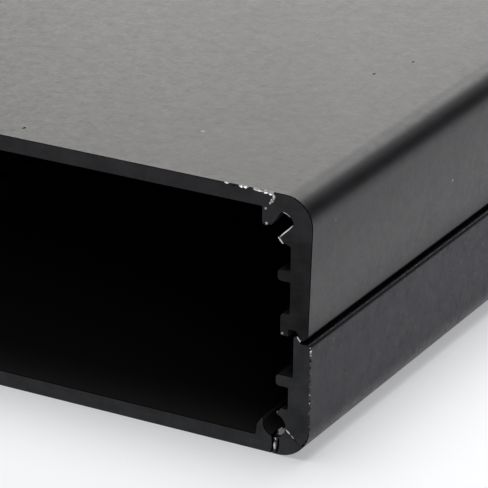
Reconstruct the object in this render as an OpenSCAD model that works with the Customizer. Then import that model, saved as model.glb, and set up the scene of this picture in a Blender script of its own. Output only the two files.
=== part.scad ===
// Split enclosure made of two aluminium extrusions. The shells close on a tongue
// joint that runs along both sides, and an end plate is screwed over the rear end.
// The front end is open, with a screw port in each corner for a second plate.
// Units are millimetres. +Z is up, the open end faces -Y, and the origin is the
// middle of the underside.

/* [Body] */
// Width over both side walls
body_w = 66; // [50:1:120]
// Height of the two closed shells
body_h = 27; // [24:0.5:45]
// Length of the two extrusions
body_l = 100; // [50:1:200]
// Outside radius of the upper shell's corners
upper_corner_r = 3; // [2:0.1:4]
// Outside radius of the lower shell's corners
lower_corner_r = 3.4; // [2:0.1:4]

/* [Walls] */
// Thickness of the top wall
top_t = 1.65; // [1.2:0.05:2.5]
// Thickness of the floor
floor_t = 1.65; // [1.2:0.05:2.5]
// Thickness of the upper shell's side walls
upper_side_t = 2.35; // [1.8:0.05:2.6]
// Thickness of the lower shell's side walls, below the rib
lower_side_t = 2.4; // [1.8:0.05:2.8]
// How far each upper side wall leans in at its lower edge
toe_in = 0.3; // [0:0.05:0.5]

/* [Board ribs] */
// Thickness of a rib
rib_t = 1.25; // [0.8:0.05:1.6]
// How far a rib stands out from the wall
rib_reach = 1.35; // [0.8:0.05:2.2]
// Radius of the rib's two rounded corners
rib_r = 0.4; // [0.1:0.05:0.4]
// Distance from the top face down to the middle of the upper rib
upper_rib_drop = 8.2; // [7:0.1:9]
// Height of the middle of the lower rib
lower_rib_rise = 7.9; // [7:0.1:9]

/* [Joint] */
// Height of the ledge on top of the lower side walls
ledge_z = 12.2; // [10.5:0.1:13]
// Width of the ledge
ledge_w = 1.05; // [0.9:0.05:1.4]
// Radius of the ledge's outer edge
ledge_r = 0.45; // [0.1:0.05:0.6]
// Height of the tongue above the ledge
tongue_h = 0.65; // [0.4:0.05:1.2]
// Width of the tongue's sloping flank
tongue_run = 0.45; // [0.2:0.05:0.8]
// Width of the tongue's flat top
tongue_t = 0.4; // [0.3:0.05:0.8]
// Clearance between the lip and the ledge
joint_gap = 0.3; // [0.1:0.05:0.5]
// Clearance above and behind the tongue
groove_gap = 0.5; // [0.3:0.05:0.8]
// Width of the chamfer on the lip's outer edge
lip_chamfer_w = 0.4; // [0.1:0.05:0.5]
// Height of the chamfer on the lip's outer edge
lip_chamfer_h = 0.6; // [0.1:0.05:0.8]
// Thickness of the claw behind the tongue
claw_t = 0.95; // [0.5:0.05:1.2]
// How far the claw hangs below the groove's ceiling
claw_h = 0.75; // [0.3:0.05:1]
// Height of the thick rail above the groove
rail_h = 1.65; // [1:0.05:2]
// Radius of the rail's top corner
rail_r = 0.5; // [0.1:0.05:0.9]

/* [Screw ports] */
// Diameter of the four screw ports
port_d = 2.4; // [2:0.1:2.8]
// Height of a port's centre from the nearer outer face
port_rise = 3.05; // [2.8:0.05:3.4]
// Distance of the upper ports' centres from the outer side face
upper_port_in = 3.25; // [3:0.05:4]
// Distance of the lower ports' centres from the outer side face
lower_port_in = 3.8; // [3.4:0.05:4.5]
// Width of the slot that opens an upper port to the inside
mouth_w = 1.5; // [1:0.05:1.6]
// Direction in which that slot opens, below the horizontal
mouth_angle = 52; // [45:1:60]
// Thickness of the fin that closes an upper port's inner side
fin_t = 1; // [0.7:0.05:1.5]
// How far the fin's tip hangs below the port's centre
fin_drop = 0.5; // [0.3:0.05:0.8]
// Thickness of the arm under an upper port
arm_t = 0.6; // [0.4:0.05:1]
// How far that arm reaches from the port's centre
arm_reach = 1.35; // [1.25:0.05:1.8]
// Direction of a lower port's opening at the curl, above the horizontal
curl_angle = 20; // [10:1:30]
// Direction of a lower port's opening at the shoulder, above the horizontal
shoulder_angle = 99; // [90:1:105]
// Thickness of the curl that closes a lower port's inner side
curl_t = 0.75; // [0.5:0.05:1.2]
// Thickness of the curl at its tip
curl_tip_t = 0.3; // [0.25:0.05:0.5]
// How far the shoulder beside a lower port rises above its centre
shoulder_rise = 2; // [1.8:0.05:2.4]
// How far the shoulder's flat top stops short of the port's centre
shoulder_back = 0.7; // [0.5:0.05:0.9]
// Thickness of the shoulder at its tip
shoulder_tip_t = 0.3; // [0.25:0.05:0.5]

/* [Rear plate] */
// Thickness of the rear end plate
plate_t = 2; // [1.5:0.1:3]
// How far the plate's edge lies inside the shells' outline
plate_inset = 0.15; // [0:0.05:0.4]

/* [Screws] */
// Diameter of the screws, over the thread
screw_d = 2.9; // [2.6:0.1:3]
// Diameter of the countersunk heads
head_d = 4.8; // [4:0.1:5]
// Length of the screws with their heads
screw_l = 8; // [5:0.5:12]
// How far the heads sit below the plate's face
head_sink = 0.1; // [0:0.05:0.3]
// Length of a head's straight rim
head_rim = 0.15; // [0.05:0.05:0.3]
// Radial clearance of the screws in the plate
hole_gap = 0.15; // [0.05:0.05:0.3]
// How much wider than its port the bore is that a screw's thread has cut
thread_bite = 0.18; // [0.16:0.01:0.2]
// Radial clearance of a screw's shank in that bore
shank_gap = 0.05; // [0.02:0.01:0.1]
// Length of that bore past a screw's point
chip_room = 0.6; // [0.4:0.1:1]
// Clearance under the heads
seat_gap = 0.03; // [0.01:0.01:0.1]
// Width of the driver cross over its arms
cross_w = 2.4; // [1.8:0.1:2.8]
// Thickness of the cross's arms
cross_t = 0.55; // [0.4:0.05:0.7]
// Depth of the driver cross
cross_h = 0.9; // [0.5:0.05:1]

/* [Hidden] */
$fn = 96;
arc_steps = 8; // straight steps in a small rounded corner
rib_fill = 0.98; // most of a rib's thickness that its rounded corners take
over = 1; // length by which a cut runs past the face it opens
fin_roundness = 0.45; // radius of the fin's tip over the fin's thickness
arm_root_drop = 0.25; // how far the arm's underside falls towards the wall
curl_flare = 0.12; // how much wider the curl is at the floor than at mid height
port_r = port_d / 2;
neck_t = ledge_w + tongue_run + tongue_t; // lower side wall above its rib
lip_z = ledge_z + joint_gap;
ceiling_z = ledge_z + tongue_h + groove_gap; // top of the groove over the tongue
rail_top_z = ceiling_z + rail_h;
claw_s = neck_t + groove_gap;
rail_s = claw_s + claw_t;
upper_port_z = body_h - port_rise;
upper_rib_z = body_h - upper_rib_drop;
lower_rib_z = lower_rib_rise;
rear_y = (body_l - plate_t) / 2; // face of the shells on which the plate sits
cut_r = port_r + thread_bite;
shank_r = cut_r - shank_gap;
hole_r = screw_d / 2 + hole_gap;

// ---- Placing ----

// Extrudes a section in X and Z along Y, from end_y towards the open end.
module run_forward(end_y, length) {
    translate([0, end_y, 0]) rotate([90, 0, 0]) linear_extrude(length) children();
}

// Places what is drawn along +Z on a port's axis, with Z = 0 on the plate's outer
// face and +Z pointing out of the rear.
module at_port(right, upper) {
    s = upper ? upper_port_in : lower_port_in;
    x = (right ? 1 : -1) * (body_w / 2 - s);
    z = upper ? upper_port_z : port_rise;
    translate([x, rear_y + plate_t, z]) rotate([-90, 0, 0]) children();
}

// ---- Sections ----
// A half section is a list of points [s, z], where s runs inwards from the outer
// side face. It starts on the outside and ends on the inside of the shell's own
// wall, and whole() joins it to its mirror image across the middle.

function polar(r, angle) = [r * cos(angle), r * sin(angle)];

function reversed(points) = [for (i = [len(points) - 1 : -1 : 0]) points[i]];

function whole(half) = concat([for (p = half) [body_w / 2 - p[0], p[1]]],
                              [for (p = reversed(half)) [p[0] - body_w / 2, p[1]]]);

// Points of an arc from one angle to another.
function arc(centre, r, from, to) =
    [for (i = [0 : arc_steps]) centre + polar(r, from + (to - from) * i / arc_steps)];

// Rounded tip of a board rib, from its lower face to its upper face.
function rib_tip(wall_t, z) =
    let (r = min(rib_r, rib_fill * rib_t / 2), s = wall_t + rib_reach - r)
    concat([[wall_t, z - rib_t / 2]], arc([s, z - rib_t / 2 + r], r, -90, 0),
           arc([s, z + rib_t / 2 - r], r, 0, 90), [[wall_t, z + rib_t / 2]]);

// Upper shell: down the outer face, round the lip, groove, claw and rail, past the
// rib and the port's arm, through the port's slot and over the fin to the top wall.
function upper_half() =
    let (c = [upper_port_in, upper_port_z],
         along = polar(1, -mouth_angle), // out of the port
         across = polar(mouth_w / 2, -mouth_angle - 90), // to the slot's lower face
         arm_tip = c + arm_reach * along + (1 + 2 * arm_t / mouth_w) * across,
         flank_s = ledge_w + (ceiling_z - lip_z) * tongue_run / tongue_h,
         fin_s = upper_port_in + port_r + fin_t,
         fin_z = upper_port_z - fin_drop,
         fin_r = fin_t * fin_roundness,
         slot_end = c - across + (fin_drop + fin_r / 2) * along)
    concat([[0, body_h], [0, body_h - upper_corner_r], [toe_in, lip_z + lip_chamfer_h],
            [toe_in + lip_chamfer_w, lip_z], [ledge_w, lip_z], [flank_s, ceiling_z],
            [claw_s, ceiling_z], [claw_s, ceiling_z - claw_h], [rail_s, ceiling_z - claw_h]],
           arc([rail_s - rail_r, rail_top_z - rail_r], rail_r, 0, 90),
           [[upper_side_t, rail_top_z]],
           rib_tip(upper_side_t, upper_rib_z),
           [[upper_side_t, arm_tip[1] - arm_root_drop], arm_tip,
            c + arm_reach * along + across, c + across, c - across, slot_end],
           arc([fin_s - fin_r, fin_z + fin_r], fin_r, -90, 0),
           [[fin_s, body_h - top_t]]);

// Lower shell: up the outer face, over the ledge and the tongue, down past the rib
// and the shoulder, through the port and over the curl to the floor.
function lower_half() =
    let (c = [lower_port_in, port_rise],
         tongue_z = ledge_z + tongue_h,
         shoulder_z = port_rise + shoulder_rise,
         curl_s = lower_port_in + port_r + curl_t)
    concat([[0, 0]], arc([ledge_r, ledge_z - ledge_r], ledge_r, 180, 90),
           [[ledge_w, ledge_z], [ledge_w + tongue_run, tongue_z],
            [neck_t - tongue_t / 2, tongue_z], [neck_t, tongue_z - tongue_t / 2],
            [neck_t, lower_rib_z + rib_t / 2]],
           reversed(rib_tip(lower_side_t, lower_rib_z)),
           [[lower_side_t, shoulder_z], [lower_port_in - shoulder_back, shoulder_z],
            c + polar(port_r + shoulder_tip_t, shoulder_angle), c,
            c + polar(port_r + curl_tip_t / 5, curl_angle),
            c + polar(port_r + curl_tip_t, curl_angle),
            [curl_s, port_rise - port_r / 4], [curl_s + curl_flare, floor_t]]);

// Cuts that round the two outer corners of the closed shells at the top or at the
// bottom, for an outline that lies inset from theirs.
module corner_cuts(r, top, inset = 0) {
    for (side = [0, 1])
        mirror([side, 0]) translate([body_w / 2 - r, top ? body_h - r : r])
            mirror([0, top ? 0 : 1]) difference() {
                square(r + over);
                circle(r - inset);
            }
}

module port_holes(s, z) {
    for (x = [-1, 1]) translate([x * (body_w / 2 - s), z]) circle(port_r);
}

module upper_section() {
    difference() {
        polygon(whole(upper_half()));
        corner_cuts(upper_corner_r, true);
        port_holes(upper_port_in, upper_port_z);
    }
}

module lower_section() {
    difference() {
        polygon(whole(lower_half()));
        corner_cuts(lower_corner_r, false);
        port_holes(lower_port_in, port_rise);
    }
}

// The plate's outline follows the closed shells, inset all round.
module plate_section() {
    difference() {
        translate([plate_inset - body_w / 2, plate_inset])
            square([body_w - 2 * plate_inset, body_h - 2 * plate_inset]);
        corner_cuts(upper_corner_r, true, plate_inset);
        corner_cuts(lower_corner_r, false, plate_inset);
    }
}

// ---- Sub-parts ----

module thread_cuts(upper) {
    depth = head_sink + screw_l + chip_room;
    for (right = [false, true])
        at_port(right, upper) translate([0, 0, -depth]) cylinder(r = cut_r, h = depth);
}

module upper_shell() {
    color("#1b1c1e") difference() {
        run_forward(rear_y, body_l) upper_section();
        thread_cuts(true);
    }
}

module lower_shell() {
    color("#1b1c1e") difference() {
        run_forward(rear_y, body_l) lower_section();
        thread_cuts(false);
    }
}

module rear_end_plate() {
    seat_r = head_d / 2 + seat_gap;
    seat_z = -head_sink - head_rim;
    color("#202124") difference() {
        run_forward(rear_y + plate_t, plate_t) plate_section();
        for (right = [false, true], upper = [false, true])
            at_port(right, upper) {
                translate([0, 0, -plate_t - over]) cylinder(r = hole_r, h = plate_t + 2 * over);
                translate([0, 0, seat_z - seat_r + hole_r])
                    cylinder(r1 = hole_r, r2 = seat_r, h = seat_r - hole_r);
                translate([0, 0, seat_z]) cylinder(r = seat_r, h = over - seat_z);
            }
    }
}

// Countersunk self-tapping screw in one of the ports. Its shank is drawn as a plain
// rod between the thread's core and its crest, with a blunt point.
module screw(right, upper) {
    head_r = head_d / 2;
    point = shank_r / 2;
    color("#26272a") at_port(right, upper) translate([0, 0, -head_sink]) difference() {
        rotate_extrude()
            polygon([[0, 0], [head_r, 0], [head_r, -head_rim],
                     [shank_r, -head_rim - head_r + shank_r], [shank_r, -screw_l + point],
                     [shank_r - point, -screw_l], [0, -screw_l]]);
        for (turn = [0, 90])
            rotate(turn) translate([-cross_w / 2, -cross_t / 2, -cross_h])
                cube([cross_w, cross_t, cross_h + over]);
    }
}

upper_shell();
lower_shell();
rear_end_plate();
screw(false, true);  // screw_upper_left
screw(true, true);  // screw_upper_right
screw(false, false);  // screw_lower_left
screw(true, false);  // screw_lower_right
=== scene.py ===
import math
import random

import bmesh
import bpy
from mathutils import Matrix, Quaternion, Vector


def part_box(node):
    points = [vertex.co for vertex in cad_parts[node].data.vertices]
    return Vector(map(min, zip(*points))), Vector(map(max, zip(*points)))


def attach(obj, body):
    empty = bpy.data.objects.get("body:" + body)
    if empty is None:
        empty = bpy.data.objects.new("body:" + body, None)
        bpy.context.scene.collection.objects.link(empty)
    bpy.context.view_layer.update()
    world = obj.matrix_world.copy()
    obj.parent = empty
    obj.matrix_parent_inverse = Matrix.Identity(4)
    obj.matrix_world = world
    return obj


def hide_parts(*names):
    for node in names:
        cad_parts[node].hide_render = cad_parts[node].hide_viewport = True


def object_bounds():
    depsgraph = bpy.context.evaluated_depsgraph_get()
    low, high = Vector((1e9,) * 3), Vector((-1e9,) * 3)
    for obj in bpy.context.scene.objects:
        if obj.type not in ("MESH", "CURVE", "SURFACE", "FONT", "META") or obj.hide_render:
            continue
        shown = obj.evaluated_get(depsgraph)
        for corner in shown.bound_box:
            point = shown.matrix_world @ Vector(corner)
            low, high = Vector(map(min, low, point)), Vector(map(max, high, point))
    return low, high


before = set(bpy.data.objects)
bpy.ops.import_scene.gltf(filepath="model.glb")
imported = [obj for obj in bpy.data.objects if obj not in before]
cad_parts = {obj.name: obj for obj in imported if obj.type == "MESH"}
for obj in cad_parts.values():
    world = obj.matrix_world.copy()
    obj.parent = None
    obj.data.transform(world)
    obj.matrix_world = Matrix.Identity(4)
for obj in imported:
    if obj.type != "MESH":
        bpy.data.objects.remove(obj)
cad_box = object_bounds()

MM = 0.001
RIGHT = round(cad_box[1].x / MM, 3)  # the box's right side, front and top, in mm
FRONT = round(cad_box[0].y / MM, 3)
TOP = round(cad_box[1].z / MM, 3)
ALONG = Vector((0, 1, 0))  # the way in which the shells are extruded


def corner_spot(inwards, behind, up):
    """A place in mm, given by how far it is in from the right side, behind the front and
    above the underside. All the wear is placed in this way."""
    return (RIGHT - inwards, FRONT + behind, up)


# ---- Shader maths -----------------------------------------------------------


class Level:
    """A socket that holds one number, with arithmetic that adds Math nodes."""

    def __init__(self, look, socket):
        self.look, self.socket = look, socket

    def _math(self, operation, *terms):
        node = self.look.add("Math", {"operation": operation}, dict(enumerate(terms)))
        return Level(self.look, node.outputs[0])

    def __add__(self, other):
        return self._math("ADD", self, other)

    def __radd__(self, other):
        return self._math("ADD", other, self)

    def __sub__(self, other):
        return self._math("SUBTRACT", self, other)

    def __rsub__(self, other):
        return self._math("SUBTRACT", other, self)

    def __mul__(self, other):
        return self._math("MULTIPLY", self, other)

    def __rmul__(self, other):
        return self._math("MULTIPLY", other, self)

    def at_least(self, other):
        return self._math("MAXIMUM", self, other)

    def at_most(self, other):
        return self._math("MINIMUM", self, other)

    def fade(self, low, high, start=0.0, end=1.0):
        """Runs smoothly from start to end as the number goes from low to high."""
        node = self.look.add("MapRange", {"interpolation_type": "SMOOTHSTEP"},
                             {"Value": self, "From Min": low, "From Max": high,
                              "To Min": start, "To Max": end})
        return Level(self.look, node.outputs["Result"])


SPECK_BORDER = 0.12  # mm, the lumps that make the border of a speck uneven
SOFT_STEP = 1.5  # mm to each side of a height at which a finish changes


class Look:
    """One procedural material. Sizes and places are in mm."""

    def __init__(self, name):
        self.material = bpy.data.materials.new(name)
        self.material.use_nodes = True
        self.tree = self.material.node_tree
        self.tree.nodes.clear()
        self.place = self.add("TexCoord").outputs["Object"]

    def add(self, kind, settings=None, sockets=None):
        """A node of any kind. Its settings come first, then its values and links."""
        node = self.tree.nodes.new("ShaderNode" + kind)
        for key, value in (settings or {}).items():
            setattr(node, key, value)
        for key, value in (sockets or {}).items():
            if isinstance(value, Level):
                value = value.socket
            if isinstance(value, bpy.types.NodeSocket):
                self.tree.links.new(value, node.inputs[key])
            else:
                node.inputs[key].default_value = value
        return node

    def stretched(self, x, y, z):
        """The object's coordinates, scaled, so that a low scale draws a pattern out."""
        return self.add("Mapping", {}, {"Vector": self.place, "Scale": (x, y, z)}).outputs[0]

    def noise(self, size, detail=2.0, roughness=0.5, where=None):
        """Soft noise whose lumps are about size across."""
        node = self.add("TexNoise", {},
                        {"Vector": where or self.place, "Scale": 1.0 / (size * MM),
                         "Detail": detail, "Roughness": roughness})
        return Level(self, node.outputs["Fac"])

    def blend(self, mask, first, second):
        """A colour that runs from first to second, each a socket or (red, green, blue)."""
        first, second = (end if isinstance(end, bpy.types.NodeSocket) else (*end, 1)
                         for end in (first, second))
        sockets = {0: mask, 6: first, 7: second}  # 6 and 7 are the colour ends
        return self.add("Mix", {"data_type": "RGBA"}, sockets).outputs[2]

    def speck(self, spot, reach):
        """1 within about reach of a spot, 0 outside, with an uneven border."""
        away = self.add("VectorMath", {"operation": "DISTANCE"},
                        {0: self.place, 1: tuple(c * MM for c in spot)})
        uneven = (self.noise(SPECK_BORDER) - 0.5) * (1.2 * reach * MM)
        distance = Level(self, away.outputs["Value"]) + uneven
        return distance.fade(0.5 * reach * MM, 1.3 * reach * MM, 1.0, 0.0)

    def above(self, height):
        """0 below a height, 1 above it."""
        split = self.add("SeparateXYZ", {}, {0: self.place})
        up = Level(self, split.outputs["Z"])
        return up.fade((height - SOFT_STEP) * MM, (height + SOFT_STEP) * MM)

    def bump(self, height, distance, strength, after=None):
        """A normal that follows height, on top of the normal that comes before it."""
        sockets = {"Height": height, "Distance": distance * MM, "Strength": strength}
        if after is not None:
            sockets["Normal"] = after
        return self.add("Bump", {}, sockets).outputs[0]

    def surface(self, **sockets):
        """The finished material, from the Principled shader's sockets by name."""
        named = {key.replace("_", " "): value for key, value in sockets.items()}
        shader = self.add("BsdfPrincipled", {}, named)
        self.add("OutputMaterial", {}, {"Surface": shader.outputs[0]})
        return self.material


# ---- Finishes ---------------------------------------------------------------

PALE_CAST = (1.0, 0.95, 1.15)  # the tint of the pale patches
PIT_GREY = (0.03, 0.03, 0.031)
METAL_SWING = 0.38  # how far the grain moves the metal's share and the roughness
ROUGH_SWING = 0.155


def blasted_anodise(name, specular, base=(0.0062, 0.0060, 0.0070), roughness=0.35,
                    tint=(1, 1, 1), patches=(0.5, 1.5), sheen=0.13, grit=1.0, specks=()):
    """Black anodising on finely blasted aluminium.

    patches are the shares of the base colour in dark and pale patches, sheen is the
    metal's share of the shine, grit makes the grain stronger, and specks are a few pale
    spots (place, reach, tone).
    """
    look = Look(name)
    grain = look.noise(0.22, 2.0, 0.6)
    pits = look.noise(0.35, 3.0, 0.7)
    cloud = look.noise(4.2, 3.0, 0.6)
    fine = look.noise(0.50, 2.0, 0.7)
    mottle = look.noise(1.3, 3.0, 0.7)
    drawn = look.noise(1.2, 2.0, 0.5, where=look.stretched(1, 0.03, 1))

    darker = [c * patches[0] for c in base]
    paler = [c * cast * patches[1] for c, cast in zip(base, PALE_CAST)]
    patch = (fine * 0.45 + mottle * 0.35 + cloud * 0.20).fade(0.43, 0.57)
    colour = look.blend(patch, darker, paler)
    colour = look.blend(pits.fade(0.64, 0.72) * 0.5, colour, PIT_GREY)

    blasted = fine + mottle - 1.0
    metallic = sheen + blasted * (METAL_SWING * grit) + (drawn - 0.5) * 0.05
    rough = roughness + blasted * (ROUGH_SWING * grit)
    for place, reach, tone in specks:
        mask = look.speck(corner_spot(*place), reach)
        colour = look.blend(mask, colour, (tone, tone, tone))
        metallic = metallic * (1 - mask)
    normal = look.bump(grain + pits * 0.6, 0.010, 0.7)
    normal = look.bump(fine + mottle, 0.014, 0.4, after=normal)
    return look.surface(Base_Color=colour, Metallic=metallic.at_least(0.0).at_most(1.0),
                        Roughness=rough, Normal=normal, Specular_IOR_Level=specular,
                        Specular_Tint=(*tint, 1))


def inner_anodise_painted_light(name):
    """The same finish inside, where nothing rubs it: dull and even, and paler than outside as
    painted light in the dark hollow.
    """
    look = Look(name)
    grain = look.noise(0.3, 3.0, 0.6)
    colour = look.blend(grain, (0.014, 0.014, 0.014), (0.022, 0.022, 0.022))
    return look.surface(Base_Color=colour, Roughness=0.6 + grain * 0.1,
                        Normal=look.bump(grain, 0.010, 0.5), Specular_IOR_Level=0.06)


def sawn_end(name, specular, dark, pale, paler_above=TOP + 3, paler_below=-3):
    """Sawn end faces, anodised black over the fine marks of the saw. They are paler above
    one height and below another (mm), which lie outside the box unless they are given."""
    look = Look(name)
    across = look.noise(0.45, 2.0, 0.55, where=look.stretched(0.10, 1.0, 1.0))
    upright = look.noise(0.35, 2.0, 0.5, where=look.stretched(1.0, 1.0, 0.12))
    cloud = look.noise(2.2, 3.0, 0.6)
    grain = look.noise(0.16, 2.0, 0.6)
    marks = (across * 0.2 + upright * 0.1 + cloud * 0.7).fade(0.30, 0.68) * 0.5
    paler = look.above(paler_above) + (1 - look.above(paler_below))
    colour = look.blend((marks + paler * 0.55).at_most(1.0), dark, pale)
    metallic = (0.60 - across * 0.4).at_least(0.0) * 0.5
    normal = look.bump(across + upright * 0.4 + grain * 0.4, 0.020, 0.2)
    return look.surface(Base_Color=colour, Metallic=metallic,
                        Roughness=0.42 + (across - 0.5) * 0.2, Normal=normal,
                        Specular_IOR_Level=specular)


def bare_metal(name, metallic, dull):
    """Fresh bright aluminium, torn and scratched."""
    look = Look(name)
    tear = look.noise(0.12, 3.0, 0.7)
    colour = look.blend(tear.fade(0.3, 0.7), dull, (0.95, 0.95, 0.95))
    return look.surface(Base_Color=colour, Metallic=metallic + tear * 0.3,
                        Roughness=0.28 + tear * 0.3, Normal=look.bump(tear, 0.040, 0.8))


def worn_anodise(name):
    """Anodising rubbed through in places to dull grey metal."""
    look = Look(name)
    rub = look.noise(0.4, 3.0, 0.65).fade(0.35, 0.65)
    colour = look.blend(rub, (0.03, 0.03, 0.032), (0.14, 0.14, 0.147))
    return look.surface(Base_Color=colour, Metallic=rub * 0.6, Roughness=0.5 - rub * 0.1,
                        Normal=look.bump(rub, 0.020, 0.6), Specular_IOR_Level=0.2)


def black_oxide(name):
    """The blackened steel of the screws."""
    look = Look(name)
    grain = look.noise(0.15, 3.0, 0.6)
    colour = look.blend(grain, (0.03, 0.03, 0.03), (0.07725, 0.075, 0.07275))
    return look.surface(Base_Color=colour, Metallic=0.75, Roughness=0.3 + grain * 0.2,
                        Normal=look.bump(grain, 0.010, 0.5))


# Small pale specks on the skins, as (place, reach, tone).
UPPER_SPECKS = [((18.00, 10.90, 27.00), 0.26, 0.11), ((0.01, 30.72, 18.68), 0.17, 0.55),
                ((0.01, 4.68, 23.44), 0.16, 0.07)]
LOWER_SPECKS = [((0.00, 38.26, 9.12), 0.15, 0.07), ((0.00, 33.10, 9.04), 0.14, 0.07)]

UPPER_SKIN = blasted_anodise("upper_blasted_anodise", 0.36, tint=(0.985, 0.972, 1.0),
                             specks=UPPER_SPECKS)
LOWER_SKIN = blasted_anodise("lower_blasted_anodise", 0.24, tint=(0.955, 0.93, 1.0),
                             base=(0.0100, 0.0094, 0.0106), patches=(0.6, 1.6), sheen=0.4,
                             grit=2.2, specks=LOWER_SPECKS)
# The inside is paler than the outer skin: painted light in the hollow.
INSIDE = inner_anodise_painted_light("inner_anodise_painted_light")
UPPER_SAWN = sawn_end("upper_sawn_end", 0.12, dark=(0.0026, 0.0027, 0.0031),
                      pale=(0.0320, 0.0320, 0.0350), paler_above=22.6)
LOWER_SAWN = sawn_end("lower_sawn_end", 0.22, dark=(0.0105, 0.0112, 0.0130),
                      pale=(0.0520, 0.0530, 0.0570), paler_below=1.5)
# The rim of the sawn ends is near black: a painted shade line along the front edges.
RIM_SHADE = sawn_end("sawn_rim_painted_shade", 0.03, dark=(0.0008, 0.0008, 0.0009), pale=(0.0020, 0.0020, 0.0023))
# Near-black walls of the cracks and nicks: painted shade in these recesses.
CUT_SHADE = sawn_end("cut_walls_painted_shade", 0.05, dark=(0.0008, 0.0008, 0.0009),
                pale=(0.0030, 0.0030, 0.0034))
# Bare aluminium of the chips and torn strips; as a strip on the tongue's slope it is a painted
# highlight.
BARE_METAL_AND_GLINT = bare_metal("bare_aluminium_and_painted_glint", 0.6, dull=(0.45, 0.45, 0.46))
RUBBED = bare_metal("rubbed_aluminium", 0.0, dull=(0.80, 0.83, 0.90))
WORN = worn_anodise("rubbed_edge")
PLATE = blasted_anodise("plate_blasted_anodise", 0.42, roughness=0.38)
SCREW = black_oxide("screw_black_oxide")


# ---- Making and cutting a piece ---------------------------------------------

MERGE_WITHIN = 0.002  # mm
HAIRLINE = 0.0005  # mm, the length of edges too short to keep
FLAT_WITHIN = 0.6  # degrees, like the next two
SMOOTH_BELOW = 35
CORNER_ABOVE = 50
ALIGNED = 0.99  # the cosine between two directions that count as one
STRIP_TAPER = 0.45  # the width of a strip at its ends, as a share of the rest


def merged_copy(node):
    """The node's solid as a clean mesh with flat faces, in a bmesh."""
    bm = bmesh.new()
    bm.from_mesh(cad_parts[node].data)
    bmesh.ops.remove_doubles(bm, verts=bm.verts, dist=MERGE_WITHIN * MM)
    bmesh.ops.dissolve_limit(bm, angle_limit=math.radians(FLAT_WITHIN), verts=bm.verts,
                             edges=bm.edges, delimit={"NORMAL"})
    return bm


def break_corners(bm, size, along=None):
    """Rounds the corners a little, or only those that run along one direction."""
    corners = []
    for edge in bm.edges:
        way = (edge.verts[1].co - edge.verts[0].co).normalized()
        if (len(edge.link_faces) == 2
                and edge.calc_face_angle(0) >= math.radians(CORNER_ABOVE)
                and (along is None or abs(way.dot(along)) > ALIGNED)):
            corners.append(edge)
    bmesh.ops.bevel(bm, geom=corners, offset=size * MM, segments=2, profile=0.5,
                    affect="EDGES", clamp_overlap=True, material=-1)


def finish_piece(name, bm, materials, stands_for=()):
    """Makes a piece from a bmesh, smooth across shallow edges, and sharp at steep ones and
    where two finishes meet."""
    bm.normal_update()
    for face in bm.faces:
        face.smooth = True
    for edge in bm.edges:
        finishes = {face.material_index for face in edge.link_faces}
        edge.smooth = (len(edge.link_faces) == 2 and len(finishes) == 1
                       and edge.calc_face_angle(0) < math.radians(SMOOTH_BELOW))
    mesh = bpy.data.meshes.new(name)
    bm.to_mesh(mesh)
    bm.free()
    for material in materials:
        mesh.materials.append(material)
    piece = bpy.data.objects.new(name, mesh)
    bpy.context.scene.collection.objects.link(piece)
    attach(piece, "root")
    if stands_for:
        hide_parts(*stands_for)


def wedge(outline, behind, depth):
    """A small prism that starts behind the front, from its outline (mm in, mm up)."""
    bm = bmesh.new()
    spots = [corner_spot(inwards, behind, up) for inwards, up in outline]
    face = bm.faces.new([bm.verts.new([c * MM for c in spot]) for spot in spots])
    back = [part for part in bmesh.ops.extrude_face_region(bm, geom=[face])["geom"]
            if isinstance(part, bmesh.types.BMVert)]
    bmesh.ops.translate(bm, verts=back, vec=(0, depth * MM, 0))
    bmesh.ops.recalc_face_normals(bm, faces=bm.faces)
    return bm


def strip(path, width):
    """The outline of a strip of one width along a path, with narrower ends."""
    sides = [[], []]
    for i, here in enumerate(path):
        before, after = path[max(i - 1, 0)], path[min(i + 1, len(path) - 1)]
        way = Vector(after) - Vector(before)
        across = Vector((-way.y, way.x)).normalized()
        half = width / 2 * (STRIP_TAPER if i in (0, len(path) - 1) else 1)
        for k, side in enumerate(sides):
            side.append(tuple(Vector(here) + across * half * (1 - 2 * k)))
    return sides[0] + sides[1][::-1]


def lump(place, reach):
    """A small ragged lump with half sizes in mm. Its shape depends on its place alone."""
    spot = corner_spot(*place)
    ragged = random.Random(round(97 * spot[0] + 31 * spot[2] + 13 * spot[1]))
    bm = bmesh.new()
    bmesh.ops.create_icosphere(bm, subdivisions=2, radius=1.0)
    for vert in bm.verts:
        vert.co *= ragged.uniform(0.72, 1.12)
    bmesh.ops.scale(bm, verts=bm.verts, vec=[r * MM for r in reach])
    bmesh.ops.translate(bm, verts=bm.verts, vec=[c * MM for c in spot])
    return bm


def gathered(parts):
    """One bmesh from several (bmesh, material slot) pairs."""
    whole = bmesh.new()
    for bm, finish in parts:
        for face in bm.faces:
            face.material_index = finish
        mesh = bpy.data.meshes.new("part")
        bm.to_mesh(mesh)
        bm.free()
        whole.from_mesh(mesh)
        bpy.data.meshes.remove(mesh)
    return whole


def in_layers(cuts):
    """The cuts in layers, so that no two in a layer touch."""
    layers = []
    for cut in cuts:
        spots = [vert.co for vert in cut[0].verts]
        low = [min(spot[axis] for spot in spots) for axis in range(3)]
        high = [max(spot[axis] for spot in spots) for axis in range(3)]
        for layer in layers:
            if all(any(high[axis] < other_low[axis] or low[axis] > other_high[axis]
                       for axis in range(3)) for _, other_low, other_high in layer):
                layer.append((cut, low, high))
                break
        else:
            layers.append([(cut, low, high)])
    return [[cut for cut, _, _ in layer] for layer in layers]


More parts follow.
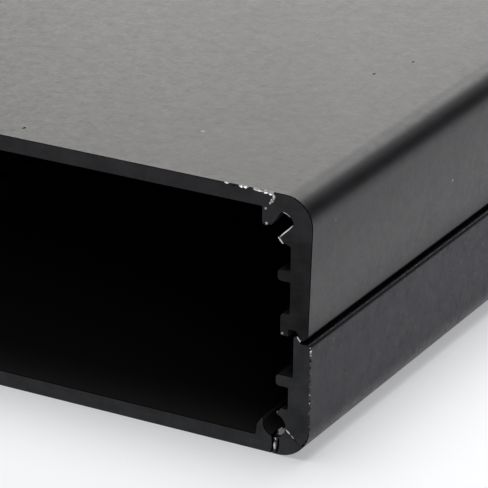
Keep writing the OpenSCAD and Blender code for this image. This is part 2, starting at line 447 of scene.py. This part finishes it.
def less(bm, cuts, materials):
    """The mesh less one layer of cuts, whose faces keep their own material."""
    pair = []
    for name, shape in (("host", bm), ("cuts", gathered(cuts))):
        mesh = bpy.data.meshes.new(name)
        shape.to_mesh(mesh)
        shape.free()
        for material in materials:
            mesh.materials.append(material)
        thing = bpy.data.objects.new(name, mesh)
        bpy.context.scene.collection.objects.link(thing)
        pair.append(thing)
    host, tool = pair
    cut = host.modifiers.new("cut", "BOOLEAN")
    cut.operation, cut.solver, cut.object = "DIFFERENCE", "EXACT", tool
    view = bpy.context.evaluated_depsgraph_get()
    result = bpy.data.meshes.new_from_object(host.evaluated_get(view), depsgraph=view)
    left = bmesh.new()
    left.from_mesh(result)
    bpy.data.meshes.remove(result)
    for thing in pair:
        mesh = thing.data
        bpy.data.objects.remove(thing)
        bpy.data.meshes.remove(mesh)
    return left


def drop_crumbs(bm):
    """Keeps the largest body of the mesh, without the crumbs that cuts leave loose."""
    seen, bodies = set(), []
    for first in bm.faces:
        if first in seen:
            continue
        seen.add(first)
        body, waiting = [], [first]
        while waiting:
            face = waiting.pop()
            body.append(face)
            beside = {other for edge in face.edges for other in edge.link_faces} - seen
            seen |= beside
            waiting.extend(beside)
        bodies.append(body)
    bodies.sort(key=len)
    crumbs = {vert for body in bodies[:-1] for face in body for vert in face.verts}
    bmesh.ops.delete(bm, geom=list(crumbs), context="VERTS")


def carved(bm, cuts, materials):
    """The mesh less all its cuts. Flat triangles keep each cut exact."""
    bmesh.ops.triangulate(bm, faces=bm.faces[:])
    for layer in in_layers(cuts):
        bm = less(bm, layer, materials)
    bmesh.ops.dissolve_degenerate(bm, dist=HAIRLINE * MM, edges=bm.edges[:])
    drop_crumbs(bm)
    return bm


# ---- The two shells ---------------------------------------------------------

(SKIN_SLOT, SAWN_SLOT, RIM_SHADE_SLOT, BARE_SLOT, CUT_SHADE_SLOT, WORN_SLOT, RUBBED_SLOT,
 INSIDE_SLOT) = range(8)
EDGE_ROUND = 0.07  # mm, like the sizes below
END_WITHIN = 0.01  # how near to the plane of an end its sawn faces lie
RIM_WIDTH, RIM_DEPTH = 0.056, 0.07
PROUD = 0.012  # room in front of the sawn faces for torn metal
RINGS = (0.7, 3.2)  # edges behind the front, so that the wear leaves the long faces alone
INNER_SIDES = RIGHT - 1.1  # faces nearer the middle than these belong to the hollow
INNER_FLOOR, INNER_TOP = 0.6, TOP - 0.8


def sawn_caps(bm, end, way):
    """The flat faces at one end (way is -1 at the front and 1 at the rear)."""
    return [face for face in bm.faces if face.normal.y * way > ALIGNED
            and abs(face.calc_center_median().y - end) < END_WITHIN * MM]


def break_rim(bm, caps, way):
    """Sets the end faces back a little and breaks their rim, and gives the rim's faces."""
    for vert in {vert for face in caps for vert in face.verts}:
        vert.co.y -= way * (RIM_DEPTH + PROUD) * MM
    return bmesh.ops.inset_region(bm, faces=caps, use_even_offset=True, use_boundary=True,
                                  thickness=RIM_WIDTH * MM, depth=RIM_DEPTH * MM)["faces"]


def extrusion(name, node, skin, sawn, cuts):
    """A shell whose long edges and sawn rims are slightly broken, with its wear cut in."""
    bm = merged_copy(node)
    break_corners(bm, EDGE_ROUND, ALONG)
    for ring in RINGS:
        bmesh.ops.bisect_plane(bm, geom=bm.verts[:] + bm.edges[:] + bm.faces[:],
                               plane_co=ALONG * (cad_box[0].y + ring * MM), plane_no=ALONG)
    bm.normal_update()
    low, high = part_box(node)
    for end, way in ((low.y, -1), (high.y, 1)):
        caps = sawn_caps(bm, end, way)
        for face in caps:
            face.material_index = SAWN_SLOT
        for face in break_rim(bm, caps, way):
            face.material_index = RIM_SHADE_SLOT
    for face in bm.faces:
        spot = face.calc_center_median() / MM
        hollow = abs(spot.x) < INNER_SIDES and INNER_FLOOR < spot.z < INNER_TOP
        if hollow and face.material_index == SKIN_SLOT:
            face.material_index = INSIDE_SLOT
    materials = [skin, sawn, RIM_SHADE, BARE_METAL_AND_GLINT, CUT_SHADE, WORN, RUBBED, INSIDE]
    finish_piece(name, carved(bm, cuts, materials), materials, [node])


def chips(rows, finish):
    """Lumps to cut out, and the finish that they leave."""
    return [(lump(place, reach), finish) for place, reach in rows]


def ring_spots(middle, radius, turns):
    """Places on a circle round (mm in, mm up), at angles in degrees that start at the
    right side and go up."""
    return [(middle[0] - radius * math.cos(math.radians(turn)),
             middle[1] + radius * math.sin(math.radians(turn))) for turn in turns]


rub_dice = random.Random(7)


def rub_size(least, spread):
    """Half sizes of a rubbed dent, each a little larger than the least by chance."""
    return tuple(low + rub_dice.uniform(0, more) for low, more in zip(least, spread))


def corner_rubs(middle, radius, turns):
    """Small dents round a front corner."""
    return [((inwards, 0, up), rub_size((0.10, 0.12, 0.10), (0.08, 0.06, 0.08)))
            for inwards, up in ring_spots(middle, radius, turns)]


def edge_rubs(bottom, step, count):
    """Small dents up the lower shell's front outer edge."""
    return [((-0.03, 0, bottom + i * step + rub_dice.uniform(-0.08, 0.08)),
             rub_size((0.12, 0.16, 0.13), (0.06, 0.12, 0.08))) for i in range(count)]


# Wear at the front right corner and a few nicks farther back, as (place, half sizes).
UPPER_CHIPS = [
    ((9.25, 0, 27.02), (0.28, 0.20, 0.14)), ((7.70, 0, 26.98), (0.30, 0.30, 0.20)),
    ((7.22, 0, 26.97), (0.30, 0.32, 0.18)), ((6.10, 0, 26.95), (0.32, 0.26, 0.20)),
    ((5.65, 0, 26.93), (0.36, 0.34, 0.22)), ((5.05, 0, 26.90), (0.36, 0.34, 0.25)),
    ((4.50, 0, 26.86), (0.36, 0.30, 0.26)), ((4.18, 0, 26.50), (0.18, 0.14, 0.28)),
    ((4.38, 0, 26.10), (0.20, 0.14, 0.22)), ((4.58, 0, 25.82), (0.12, 0.11, 0.13)),
    ((5.05, 0, 25.20), (0.14, 0.10, 0.14)), ((4.92, 0, 23.72), (0.16, 0.12, 0.15)),
    ((3.08, 0, 12.86), (0.14, 0.12, 0.12)),
]
# The nicks are painted near black inside: painted shade.
UPPER_NICKS = [
    ((33.54, 2.75, 27.01), (0.19, 0.28, 0.08)), ((11.18, 34.40, 27.01), (0.16, 0.28, 0.08)),
    ((9.38, 39.80, 27.01), (0.14, 0.24, 0.08)), ((-0.01, 31.82, 16.88), (0.05, 0.12, 0.12)),
    ((-0.01, 26.27, 17.07), (0.05, 0.10, 0.11)), ((8.48, -0.02, 26.86), (0.28, 0.08, 0.07)),
    ((5.80, -0.02, 26.74), (0.50, 0.08, 0.06)),
]
LOWER_CHIPS = [
    ((-0.04, 0, 12.00), (0.15, 0.20, 0.22)), ((-0.06, 0, 11.55), (0.18, 0.30, 0.30)),
    ((-0.06, 0, 11.15), (0.16, 0.24, 0.16)), ((-0.05, 0, 7.02), (0.14, 0.12, 0.16)),
    ((-0.05, 0, 6.20), (0.12, 0.10, 0.14)), ((3.54, 0, 4.52), (0.13, 0.12, 0.12)),
]
# The nicks are painted near black inside: painted shade.
LOWER_NICKS = [
    ((3.70, 0, 1.84), (0.24, 0.16, 0.10)), ((-0.03, 7.10, 6.94), (0.06, 0.14, 0.13)),
    ((-0.05, 0, 10.55), (0.16, 0.30, 0.32)), ((-0.05, 0, 5.35), (0.12, 0.12, 0.18)),
    ((-0.05, 0, 4.50), (0.10, 0.10, 0.22)), ((0.58, 0, 1.58), (0.20, 0.24, 0.24)),
    ((0.26, 0, 2.10), (0.14, 0.20, 0.20)), ((0.95, 0, 0.98), (0.22, 0.22, 0.14)),
    ((4.05, 0, 0.02), (0.18, 0.20, 0.16)),
]
# The bottom of the lower right port, rubbed bright by a screw.
PORT_RUBS = [((inwards, 1.50, up), (0.32, 1.50, 0.26)) for inwards, up in
             ring_spots(middle=(3.38, 3.18), radius=1.22,
                        turns=(-112, -98, -84, -70, -56, -43, -30))]
EDGE_RUBS = edge_rubs(bottom=2.3, step=0.27, count=37)
# The dents round the two front corners take the rim's near-black finish, a painted shade line.
UPPER_RUBS = corner_rubs(middle=(3.0, 24.0), radius=3.04, turns=range(4, 84, 5))
BOTTOM_RUBS = corner_rubs(middle=(3.4, 3.4), radius=3.44,
                          turns=(-14, -24, -33, -50, -58, -66, -80))
# The split wall of that port: the middle line (mm in, mm up), width and depth of each crack.
CRACKS = [
    ([(4.36, 2.95), (4.22, 2.35), (3.98, 1.85), (3.92, 1.35), (3.90, 0.80), (4.05, 0.14)],
     0.26, 1.2),
    ([(3.28, 1.80), (3.32, 1.50), (3.32, 1.05), (3.42, 0.55), (3.55, 0.14)], 0.20, 0.9),
    ([(2.62, 2.92), (2.28, 2.60), (1.60, 2.02), (0.95, 1.45)], 0.09, 0.8),
]
CRACK_START = -0.2  # mm behind the front, so ahead of it, which opens a crack cleanly

upper_wear = (chips(UPPER_RUBS, RIM_SHADE_SLOT) + chips(UPPER_CHIPS, BARE_SLOT)
              + chips(UPPER_NICKS, CUT_SHADE_SLOT))
lower_wear = (chips(EDGE_RUBS, WORN_SLOT) + chips(PORT_RUBS, RUBBED_SLOT)
              + chips(LOWER_CHIPS, BARE_SLOT) + chips(LOWER_NICKS, CUT_SHADE_SLOT)
              + chips(BOTTOM_RUBS, RIM_SHADE_SLOT))
# The cracks' walls are near black: painted shade.
for path, width, depth in CRACKS:
    crack = wedge(strip(path, width), CRACK_START, depth - CRACK_START)
    lower_wear.append((crack, CUT_SHADE_SLOT))

extrusion("upper_extrusion", "upper_shell", UPPER_SKIN, UPPER_SAWN, upper_wear)
extrusion("lower_extrusion", "lower_shell", LOWER_SKIN, LOWER_SAWN, lower_wear)


# ---- Torn metal in and beside the two ports, and a painted highlight at the joint ---

# Outlines (mm in, mm up) of the flanks that are bent into the upper port.
PORT_FLANKS = [
    [(3.30, 25.22), (3.62, 24.85), (3.91, 24.37), (4.44, 23.66), (4.75, 23.80), (4.60, 24.60),
     (3.90, 25.35)],
    [(1.95, 24.20), (2.10, 24.02), (2.62, 23.42), (3.42, 22.66), (3.30, 22.50), (2.60, 22.70),
     (1.95, 23.30)],
]
FLANK_BACK, FLANK_DEPTH = 0.014, 1.5  # mm behind the front, and mm deep
# Middle line, width and depth of each strip of bright metal: torn metal at the ports, and a
# painted highlight on the lower shell's tongue slope.
BRIGHT_STRIPS = [
    ([(3.18, 25.20), (2.80, 25.11), (2.40, 24.84)], 0.06, 0.35),
    ([(2.14, 24.03), (2.62, 23.50), (3.10, 23.05), (3.46, 22.66)], 0.12, 0.30),
    ([(3.67, 22.60), (3.40, 22.32), (3.13, 22.02)], 0.17, 0.30),
    # A painted highlight along the lower shell's tongue slope.
    ([(1.47, 12.82), (1.32, 12.62), (1.14, 12.38)], 0.14, 0.25),
    ([(3.70, 1.22), (3.74, 0.90), (3.70, 0.50)], 0.28, 0.30),
    ([(3.66, 1.74), (3.58, 1.52)], 0.22, 0.30),
    ([(2.50, 2.84), (2.28, 2.66), (2.05, 2.47)], 0.17, 0.25),
    ([(1.96, 2.39), (1.80, 2.25), (1.62, 2.10)], 0.08, 0.25),
]
STRIP_BACK = 0.006  # mm behind the front, and so in front of the sawn faces

flanks = [wedge(outline, FLANK_BACK, FLANK_DEPTH) for outline in PORT_FLANKS]
strips = [wedge(strip(path, width), STRIP_BACK, depth)
          for path, width, depth in BRIGHT_STRIPS]
finish_piece("torn_upper_port", gathered([(bm, 0) for bm in flanks]), [UPPER_SAWN])
finish_piece("torn_metal_and_painted_glint", gathered([(bm, 0) for bm in strips]), [BARE_METAL_AND_GLINT])


# ---- Rear plate and screws --------------------------------------------------


def broken_edges(name, node, material, size):
    """The node with its corners rounded a little (mm)."""
    bm = merged_copy(node)
    break_corners(bm, size)
    finish_piece(name, bm, [material], [node])


broken_edges("rear_plate", "rear_end_plate", PLATE, 0.12)
for corner in ("upper_left", "upper_right", "lower_left", "lower_right"):
    broken_edges("plate_screw_" + corner, "screw_" + corner, SCREW, 0.04)


# ---- Floor, light and camera ------------------------------------------------

FLOOR_HALF = 3.0  # m, like all the places and sizes below
FLOOR_DROP = 0.02 * MM
FLOOR_GLOW = (0.335, 0.338, 0.345, 1)


def floor():
    """A pale backlit table. To the camera and in reflections it also glows a little, and
    that glow lights nothing."""
    bm = bmesh.new()
    bmesh.ops.create_grid(bm, x_segments=1, y_segments=1, size=FLOOR_HALF)
    bmesh.ops.translate(bm, verts=bm.verts, vec=(0, 0, -FLOOR_DROP))
    mesh = bpy.data.meshes.new("floor")
    bm.to_mesh(mesh)
    bm.free()
    look = Look("floor_table")
    paint = look.blend(look.noise(80), (0.600, 0.604, 0.612), (0.620, 0.623, 0.630))
    paths = look.add("LightPath")
    seen, mirrored, through = (Level(look, paths.outputs[name]) for name in
                               ("Is Camera Ray", "Is Glossy Ray", "Is Transmission Ray"))
    mesh.materials.append(look.surface(
        Base_Color=paint, Roughness=1.0, Specular_IOR_Level=0.0, Emission_Color=FLOOR_GLOW,
        Emission_Strength=seen.at_least(mirrored).at_least(through)))
    table = bpy.data.objects.new("floor", mesh)
    bpy.context.scene.collection.objects.link(table)


def softbox(name, spot, aim, wide, high, radiance, colour=(1, 1, 1)):
    """A rectangular soft light whose face has the given radiance."""
    lamp = bpy.data.lights.new(name, "AREA")
    lamp.shape = "RECTANGLE"
    lamp.size, lamp.size_y = wide, high
    lamp.color = colour
    lamp.energy = radiance * 4 * wide * high  # the watts that give it
    box = bpy.data.objects.new(name, lamp)
    box.location = spot
    box.rotation_mode = "QUATERNION"
    box.rotation_quaternion = (Vector(aim) - Vector(spot)).to_track_quat("-Z", "Y")
    bpy.context.scene.collection.objects.link(box)


def surround(level):
    """An even dim surround."""
    made = bpy.data.worlds.new("surround")
    made.use_nodes = True
    back = made.node_tree.nodes["Background"]
    back.inputs["Color"].default_value = (1, 1, 1, 1)
    back.inputs["Strength"].default_value = level
    bpy.context.scene.world = made


def camera(spot, azimuth, elevation, roll, lens):
    """A camera that looks down and to the left, with its angles in degrees."""
    azimuth, elevation, roll = (math.radians(a) for a in (azimuth, elevation, roll))
    ahead = Vector((-math.sin(azimuth) * math.cos(elevation),
                    math.cos(azimuth) * math.cos(elevation), -math.sin(elevation)))
    body = bpy.data.cameras.new("camera")
    body.sensor_width = 36
    body.lens = lens
    body.clip_start, body.clip_end = 0.02, 20
    stand = bpy.data.objects.new("camera", body)
    stand.location = spot
    stand.rotation_mode = "QUATERNION"
    stand.rotation_quaternion = ahead.to_track_quat("-Z", "Y") @ Quaternion((0, 0, 1), roll)
    bpy.context.scene.collection.objects.link(stand)
    bpy.context.scene.camera = stand


floor()
surround(level=0.09)
softbox("overhead", (-0.07, 0.08, 1.10), (0, 0, 0), wide=0.76, high=0.72, radiance=5.2)
softbox("front_right", (0.90, -0.80, 0.70), (0, 0, 0), wide=0.9, high=0.9, radiance=0.9)
softbox("behind", (-0.32, 1.04, 0.46), (0, 0, 0.02), wide=0.9, high=0.88, radiance=1.84,
        colour=(1.0, 0.992, 0.955))
softbox("behind_middle", (0.02, 0.95, 0.72), (0, 0, 0.02), wide=0.35, high=0.6, radiance=1.20)
softbox("behind_right", (0.34, 0.95, 0.62), (0, 0, 0.02), wide=0.25, high=0.5, radiance=0.58)
camera((0.168391, -0.310997, 0.142953), azimuth=28.76, elevation=22.33, roll=0.61, lens=250.16)
bpy.context.scene.view_settings.view_transform = "Standard"

bpy.context.view_layer.update()
